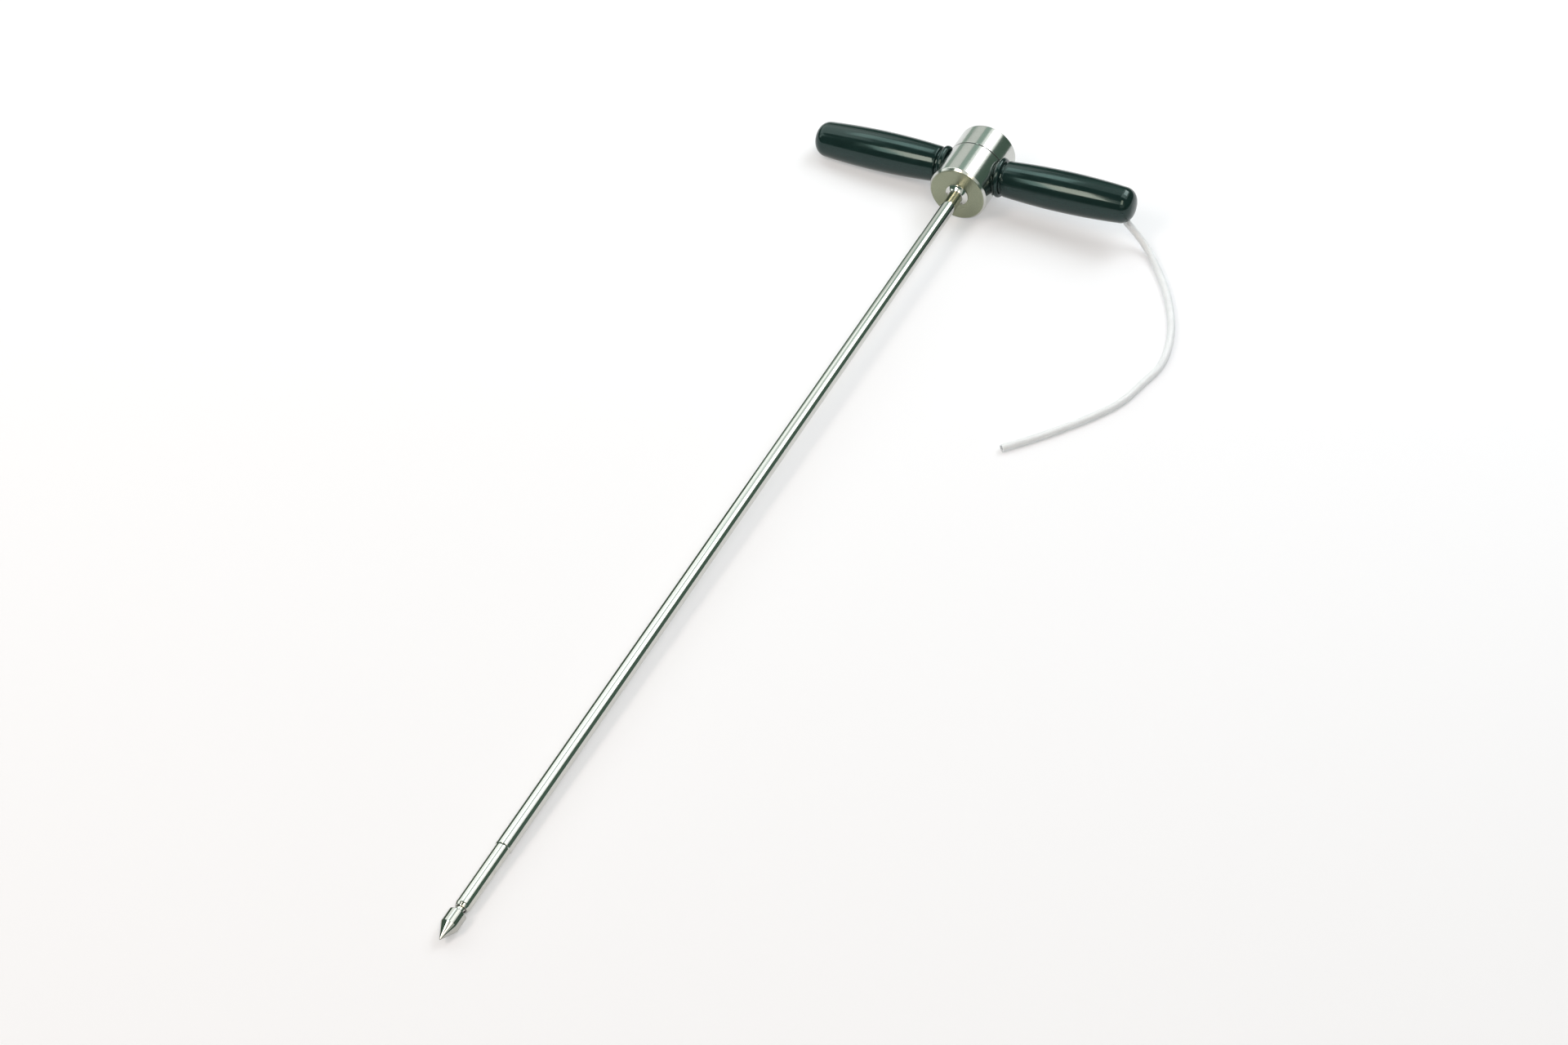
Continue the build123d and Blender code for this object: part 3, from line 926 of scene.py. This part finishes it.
def seal_rubber(finish):
    """Outlet bush and seals: dull black rubber with dust in its grain."""
    g = new_graph("seal_rubber")
    p = g.axes(PROBE)
    grain = g.noise(p, 1500.0, 3.0, 0.6)
    dust = g.noise(p, 260.0, 3.0).rise(0.5, 0.8)
    base = g.mix(dust * 0.4, finish.rubber, finish.dust)
    rough = finish.rubber_gloss + 0.15 * grain
    return g.surface(Base_Color=base, Roughness=rough, Normal=g.bump(grain, 0.012 * MM))


# Operators

class ProbeOperator:
    """Settings shared by the probe's operators."""

    bl_options = {"REGISTER", "UNDO"}

    def settings(self, context):
        """All settings of the probe."""
        return context.scene.soil_probe


class SOILPROBE_OT_hub(ProbeOperator, bpy.types.Operator):
    """Turn the hub, cut the grips' seats, and turn the striking plug"""

    bl_idname = "soil_probe.hub"
    bl_label = "Hub and striking plug"

    def execute(self, context):
        s = self.settings(context)
        hub = turn("hub", supported(hub_outline(s.hub)), HUB_FACETS, s.hub.edge)
        cutter = turn("seat_cutter", seat_cutter_outline(s.hub), GRIP_FACETS)
        place(hub, PROBE)
        place(cutter, bar_axes(s.hub, 1))
        cut(hub, cutter)
        finish_piece(hub, turned_hub_steel(s.finish, s.hub), "probe", "hub_body")
        plug = turn("plug", supported(plug_outline(s.hub)), PLUG_FACETS, s.hub.edge)
        place(plug, PROBE)
        top = s.hub.height + s.hub.crown_height
        finish_piece(plug, struck_plug_steel(s.finish, top), "probe", "striking_plug")
        return {"FINISHED"}


class SOILPROBE_OT_tube(ProbeOperator, bpy.types.Operator):
    """Turn the probe's tube and the dished collar under the hub"""

    bl_idname = "soil_probe.tube"
    bl_label = "Tube and collar"

    def execute(self, context):
        s = self.settings(context)
        steel = drawn_tube_steel(s.finish, s.tube.reach)
        tube = turn("tube", supported(tube_outline(s.tube, s.hub.floor)), TUBE_FACETS, s.tube.edge)
        collar = turn("collar", collar_outline(s.tube), COLLAR_FACETS, s.tube.edge)
        for piece, node in ((tube, "probe_tube"), (collar, "tube_collar")):
            place(piece, PROBE)
            finish_piece(piece, steel, "probe", node)
        return {"FINISHED"}


class SOILPROBE_OT_tip(ProbeOperator, bpy.types.Operator):
    """Turn the sampling head and the loose cone tip with its intake hole"""

    bl_idname = "soil_probe.tip"
    bl_label = "Sampling head and cone tip"

    def execute(self, context):
        s = self.settings(context)
        head_top = -s.tube.reach
        head_end = head_top - s.tip.head_length
        low = head_end - s.tip.gap - s.tip.barrel - s.tip.taper
        steel = turned_tip_steel(s.finish, s.tip, low)
        head = turn("head", supported(head_outline(s.tip, head_top)), TUBE_FACETS, s.tip.edge)
        cone = turn("cone", supported(cone_outline(s.tip, head_end)), TUBE_FACETS, s.tip.edge)
        drill = turn("drill", rod_outline(s.tip.intake, -s.tip.neck, s.tip.neck), DRILL_FACETS)
        intake_place = Matrix.Translation((0.0, 0.0, head_end - s.tip.gap / 2))
        place(drill, intake_place @ Matrix.Rotation(math.pi / 2, 4, "Y"))
        cut(cone, drill)
        for piece, body, node in ((head, "probe", "sampling_head"), (cone, "tip", "cone_tip")):
            place(piece, PROBE)
            finish_piece(piece, steel, body, node)
        return {"FINISHED"}


class SOILPROBE_OT_grips(ProbeOperator, bpy.types.Operator):
    """Turn one grip, copy it to the other side, and cut the hose's outlet"""

    bl_idname = "soil_probe.grips"
    bl_label = "Grips"

    def execute(self, context):
        s = self.settings(context)
        left = turn("grip_left", grip_outline(s.grip, seat_place(s.hub)), GRIP_FACETS, s.grip.edge)
        pick(left)
        bpy.ops.object.duplicate(linked=False)
        right = context.object
        right.name = right.data.name = "grip_right"
        cutter = turn("outlet_cutter", rod_outline(s.grip.outlet, 0.0, s.grip.reach), OUTLET_FACETS)
        knee = Matrix.Translation((outlet_knee(s.hub, s.grip), 0.0, s.hub.bar_height))
        slant = Matrix.Rotation(s.grip.outlet_angle, 4, "Z") @ Matrix.Rotation(math.pi / 2, 4, "Y")
        place(cutter, PROBE @ knee @ slant)
        place(left, bar_axes(s.hub, -1))
        place(right, bar_axes(s.hub, 1))
        cut(right, cutter)
        plastic = moulded_grip_plastic(s.finish, s.hub, s.grip)
        for piece, node in ((left, "left_grip"), (right, "right_grip")):
            finish_piece(piece, plastic, "probe", node)
        return {"FINISHED"}


class SOILPROBE_OT_hose(ProbeOperator, bpy.types.Operator):
    """Lay the free gas hose on the table along its route, with an open bore at its cut end"""

    bl_idname = "soil_probe.hose"
    bl_label = "Gas hose"

    def route(self, s):
        """The hose's control points in metres, from the grip to the cut end."""
        slant = s.grip.outlet_angle
        knee = Vector((outlet_knee(s.hub, s.grip), 0.0, s.hub.bar_height))
        way = Vector((math.cos(slant), math.sin(slant), 0.0))
        start = outlet_reach(s.hub, s.grip) + s.hose.stub
        first = [PROBE @ (knee + way * reach) for reach in (start, start + s.hose.first_run)]
        lying = s.hose.diameter / 2
        laid = [Vector((x * MM, y * MM, lying + lift * MM)) for x, y, lift in HOSE_ROUTE]
        return first + laid

    def middle_line(self, points):
        """Smooth line of the hose's middle, drawn by its control points."""
        line = bpy.data.curves.new("gas_hose_line", "CURVE")
        line.dimensions = "3D"
        line.resolution_u = HOSE_STEPS
        spline = line.splines.new("NURBS")
        spline.points.add(len(points) - 1)
        for control, point in zip(spline.points, points):
            control.co = (*point, 1.0)
        spline.order_u = 3
        spline.use_endpoint_u = True
        return line

    def execute(self, context):
        s = self.settings(context)
        points = self.route(s)
        line = self.middle_line(points)
        deselect()
        hose = bpy.data.objects.new("hose", line)
        context.scene.collection.objects.link(hose)
        context.view_layer.update()
        bare = bpy.data.meshes.new_from_object(hose)
        bpy.data.meshes.remove(bare)
        line.bevel_depth = s.hose.diameter / 2
        line.bevel_resolution = HOSE_ROUNDING
        pick(hose)
        bpy.ops.object.convert(target="MESH")
        hose = context.object
        weld(hose)
        modify(hose, "SOLIDIFY", thickness=s.hose.wall, offset=-1.0, use_rim=True)
        finish_piece(hose, milky_hose_plastic(s.finish), "probe", "gas_hose")
        return {"FINISHED"}


class SOILPROBE_OT_inner(ProbeOperator, bpy.types.Operator):
    """Give the solids inside the probe their materials"""

    bl_idname = "soil_probe.inner"
    bl_label = "Inner pieces"

    def execute(self, context):
        s = self.settings(context)
        steel = plain_metal("inner_steel", s.finish.inner_steel, s.finish.inner_gloss)
        brass = plain_metal("brass", s.finish.brass, s.finish.brass_gloss)
        rubber = seal_rubber(s.finish)
        hose = bpy.data.materials["milky_hose_plastic"]
        tip = bpy.data.materials["turned_tip_steel"]
        inside = (
            (steel, ("left_spindle", "right_spindle", "hose_ferrule")),
            (tip, ("tip_stop_nut",)),
            (brass, ("hose_nipple", "left_grip_insert", "right_grip_insert")),
            (rubber, ("outlet_bush", "plug_seal", "nipple_seal")),
            (hose, ("inner_hose",)),
        )
        for material, nodes in inside:
            for node in nodes:
                frame["nodes"][node].material_slots[0].material = material
        return {"FINISHED"}


# Softboxes over the table: name, middle, edge that runs across it, edge that runs along it,
# radiance and tint, in metres.
SOFTBOXES = (
    ("left", (-1.875, 1.10, 1.425), (1.55, 0.0, 1.05), (0.0, 2.40, 0.0), 1.40, (0.985, 1.0, 0.985)),
    ("near_left", (-2.05, -0.45, 1.05), (1.10, 0.0, 1.00), (0.0, 0.65, 0.0), 1.40, (0.98, 1.0, 0.98)),
    ("far_left", (-1.80, 2.80, 1.48), (1.40, 0.0, 0.95), (0.0, 1.00, 0.0), 0.75, (1.0, 0.99, 0.97)),
    ("low_left_card", (-1.35, 2.20, 0.28), (0.0, 0.0, 0.56), (0.0, 2.20, 0.0), 0.34, (0.85, 1.0, 0.90)),
    ("back", (0.70, 2.10, 2.00), (1.94, 0.20, 0.0), (-0.37, 3.70, 0.0), 1.10, (1.0, 1.0, 1.0)),
    ("back_core", (0.60, 2.15, 1.88), (1.00, 0.10, 0.0), (-0.22, 2.20, 0.0), 4.2, (0.97, 0.99, 1.0)),
    ("back_near_core", (0.44, 0.68, 1.84), (1.10, 0.0, 0.0), (0.0, 0.74, 0.0), 0.8, (1.0, 1.0, 1.0)),
    ("near_card", (-0.66, 1.25, 2.04), (0.92, 0.0, 0.0), (0.0, 1.60, 0.0), 0.66, (0.95, 1.0, 0.98)),
    ("far_card", (-0.72, 3.10, 2.08), (0.82, 0.0, 0.0), (0.0, 2.20, 0.0), 0.38, (0.76, 1.0, 0.90)),
    ("upper_strip", (-0.98, 1.02, 1.96), (0.66, 0.0, 0.0), (0.0, 0.86, 0.0), 1.87, (0.80, 1.0, 0.97)),
    ("upper_edge", (-0.80, 1.15, 1.92), (0.28, 0.0, 0.0), (0.0, 1.00, 0.0), 0.85, (0.80, 1.0, 0.97)),
    ("front_left", (-0.87, -1.40, 2.10), (0.62, 0.28, 0.0), (-0.35, 0.72, 0.95), 10.0, (1.0, 0.80, 0.71)),
    ("front_edge_card", (-1.34, -1.61, 2.10), (0.38, 0.17, 0.0), (-0.35, 0.72, 0.95), 3.4, (0.85, 1.0, 0.94)),
    ("front_fill", (0.06, -1.75, 2.13), (1.65, 0.0, 0.0), (0.0, 0.70, 0.70), 0.85, (1.0, 0.99, 0.95)),
    ("front_middle", (1.06, -1.22, 2.25), (0.88, 0.14, 0.0), (-0.05, 0.80, 0.95), 5.2, (1.0, 0.84, 0.70)),
    ("front_right", (1.45, -1.65, 1.40), (1.40, 1.10, 0.0), (-0.35, 0.40, 1.10), 0.5, (1.0, 0.99, 0.95)),
)

# Distances from the frame's origin over which the floor as it is seen turns plain white, in metres.
FLOOR_FADE = (0.65, 2.1)

# The low dark card beside the tube is painted shade: polished surfaces show it where the floor beside the
# tube lies in shade. Its height, its distance from the tube's axis, how far its middle lies under that axis,
# how far under the hub it starts, and how far past the tube's end it goes.
CARD_HEIGHT = 20.0 * MM
CARD_ASIDE = 35.0 * MM
CARD_DROP = 2.0 * MM
CARD_START = 30.0 * MM
CARD_PAST = 90.0 * MM

# Side of the floor and radius of the dark room, in metres.
FLOOR_SIDE = 24.0
ROOM_RADIUS = 9.0

# The camera's place and its turn about X, Y and Z in degrees, fitted to the photograph, and the
# width in millimetres of the sensor that its lens is written for.
CAMERA_PLACE = (0.6402, -1.2709, 1.4025)
CAMERA_TURN = (45.049, -0.218, 26.022)
SENSOR_WIDTH = 36.0


class SOILPROBE_OT_stage(ProbeOperator, bpy.types.Operator):
    """Set the pale floor, the softboxes, the dark room and the camera"""

    bl_idname = "soil_probe.stage"
    bl_label = "Stage"

    def seen(self, g):
        """1 for rays that show a background: to the camera, or by way of gloss or glass."""
        path = g.node("ShaderNodeLightPath")
        outputs = path.socket.node.outputs
        rays = [Value(g, outputs[name]) for name in ("Is Camera Ray", "Is Glossy Ray", "Is Transmission Ray")]
        return rays[0].highest(rays[1]).highest(rays[2])

    def make_floor(self, s):
        """Lay the pale floor, which keeps the probe's shadow and turns white far from it."""
        deselect()
        bpy.ops.mesh.primitive_plane_add(size=FLOOR_SIDE, location=(0.0, 0.0, 0.0))
        floor = bpy.context.object
        floor.name = "floor"
        g = new_graph("pale_floor")
        matt = g.node("ShaderNodeBsdfDiffuse", None, {"Color": (*s.floor, 1.0)})
        white = g.node("ShaderNodeEmission", None, {"Color": (1.0, 1.0, 1.0, 1.0), "Strength": 1.0})
        far = g.off_axis(g.node("ShaderNodeTexCoord", output="Object")).rise(*FLOOR_FADE)
        white_share = self.seen(g) * (s.floor_white + (1 - s.floor_white) * far)
        both = g.node("ShaderNodeMixShader", None, {0: white_share, 1: matt, 2: white})
        g.node("ShaderNodeOutputMaterial", None, {"Surface": both})
        floor.data.materials.append(g.owner)

    def mirrored_only(self, name, tint):
        """Let the active stage piece show a plain tint in polished surfaces and nowhere else."""
        piece = bpy.context.object
        piece.name = name
        g = new_graph(name)
        plain = g.node("ShaderNodeEmission", None, {"Color": (*tint, 1.0), "Strength": 1.0})
        g.node("ShaderNodeOutputMaterial", None, {"Surface": plain})
        piece.data.materials.append(g.owner)
        for ray in ("camera", "diffuse", "transmission", "volume_scatter", "shadow"):
            setattr(piece, f"visible_{ray}", False)

    def make_dark_sides(self, s, reach):
        """Set the dark room round the stage and the low dark card beside the tube, which is painted shade in
        polished surfaces.
        """
        deselect()
        bpy.ops.mesh.primitive_uv_sphere_add(
            segments=48, ring_count=24, radius=ROOM_RADIUS, location=(0.0, 0.0, 0.0)
        )
        self.mirrored_only("dark_room", s.room)
        deselect()
        bpy.ops.mesh.primitive_plane_add(size=1.0)
        card = bpy.context.object
        upright = Matrix(((0.0, 0.0, 1.0), (1.0, 0.0, 0.0), (0.0, 1.0, 0.0))).to_4x4()
        size = Matrix.Diagonal((CARD_HEIGHT, reach + CARD_PAST - CARD_START, 1.0, 1.0))
        centre = Matrix.Translation((-CARD_ASIDE, CARD_DROP, -(reach + CARD_PAST + CARD_START) / 2))
        card.matrix_world = PROBE @ centre @ upright @ size
        # The card shows painted shade: only polished surfaces see it, dark where the floor beside the tube is
        # shaded.
        self.mirrored_only("shade_card", s.card)

    def make_softbox(self, name, centre, across, along, radiance, tint):
        """Hang one softbox that faces the probe."""
        deselect()
        bpy.ops.object.light_add(type="AREA", location=centre)
        lamp = bpy.context.object
        lamp.name = name
        light = lamp.data
        light.shape = "RECTANGLE"
        light.size, light.size_y = Vector(across).length, Vector(along).length
        light.energy = radiance * math.pi * light.size * light.size_y
        light.color = tint
        x = Vector(across).normalized()
        z = x.cross(Vector(along)).normalized()
        if z.dot(Vector(centre)) < 0:
            x, z = -x, -z
        lamp.matrix_world = Matrix.Translation(centre) @ Matrix((x, z.cross(x), z)).transposed().to_4x4()
        lamp.visible_camera = False

    def make_world(self, scene, fill):
        """White behind everything that is seen, and a weak light from all round."""
        world = bpy.data.worlds.new("studio")
        scene.world = world
        g = Graph(world)
        strength = self.seen(g).highest(fill)
        back = g.node("ShaderNodeBackground", None, {"Color": (1.0, 1.0, 1.0, 1.0), "Strength": strength})
        g.node("ShaderNodeOutputWorld", None, {"Surface": back})

    def make_camera(self, scene, lens):
        """Set the camera where the photograph was taken from."""
        deselect()
        turned = [math.radians(angle) for angle in CAMERA_TURN]
        bpy.ops.object.camera_add(location=CAMERA_PLACE, rotation=turned)
        camera = bpy.context.object
        camera.name = "camera"
        camera.data.lens = lens
        camera.data.sensor_width = SENSOR_WIDTH
        scene.camera = camera

    def execute(self, context):
        scene = context.scene
        s = self.settings(context)
        scene.view_settings.view_transform = "Standard"
        self.make_floor(s.stage)
        self.make_dark_sides(s.stage, s.tube.reach)
        for softbox in SOFTBOXES:
            self.make_softbox(*softbox)
        self.make_world(scene, s.stage.fill)
        self.make_camera(scene, s.stage.lens)
        return {"FINISHED"}


OPERATORS = (
    SOILPROBE_OT_stage,
    SOILPROBE_OT_hose,
    SOILPROBE_OT_hub,
    SOILPROBE_OT_tube,
    SOILPROBE_OT_tip,
    SOILPROBE_OT_grips,
    SOILPROBE_OT_inner,
)


class SOILPROBE_PT_panel(bpy.types.Panel):
    """Lists the probe's settings and the operators that model it"""

    bl_idname = "SOILPROBE_PT_panel"
    bl_label = "Soil Gas Probe"
    bl_space_type = "VIEW_3D"
    bl_region_type = "UI"
    bl_category = "Soil Probe"

    def draw(self, context):
        settings = context.scene.soil_probe
        for operator in OPERATORS:
            self.layout.operator(operator.bl_idname)
        for pointer in settings.bl_rna.properties:
            if pointer.type == "POINTER" and pointer.identifier != "rna_type":
                box = self.layout.box()
                box.label(text=pointer.name)
                values = getattr(settings, pointer.identifier)
                for item in values.__annotations__:
                    box.prop(values, item)


CLASSES = (
    HubSizes,
    TubeSizes,
    TipSizes,
    GripSizes,
    HoseSizes,
    Finishes,
    StageSettings,
    ProbeSettings,
    *OPERATORS,
    SOILPROBE_PT_panel,
)


def register():
    """Register the classes and hang the settings on the scene."""
    for each in CLASSES:
        bpy.utils.register_class(each)
    bpy.types.Scene.soil_probe = bpy.props.PointerProperty(type=ProbeSettings)


def unregister():
    """Take the settings off the scene and unregister the classes."""
    del bpy.types.Scene.soil_probe
    for each in reversed(CLASSES):
        bpy.utils.unregister_class(each)


def main():
    """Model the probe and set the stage."""
    register()
    bpy.ops.soil_probe.stage()
    bpy.ops.soil_probe.hose()
    bpy.ops.soil_probe.hub()
    bpy.ops.soil_probe.tube()
    bpy.ops.soil_probe.tip()
    bpy.ops.soil_probe.grips()
    bpy.ops.soil_probe.inner()


if __name__ == "__main__":
    main()
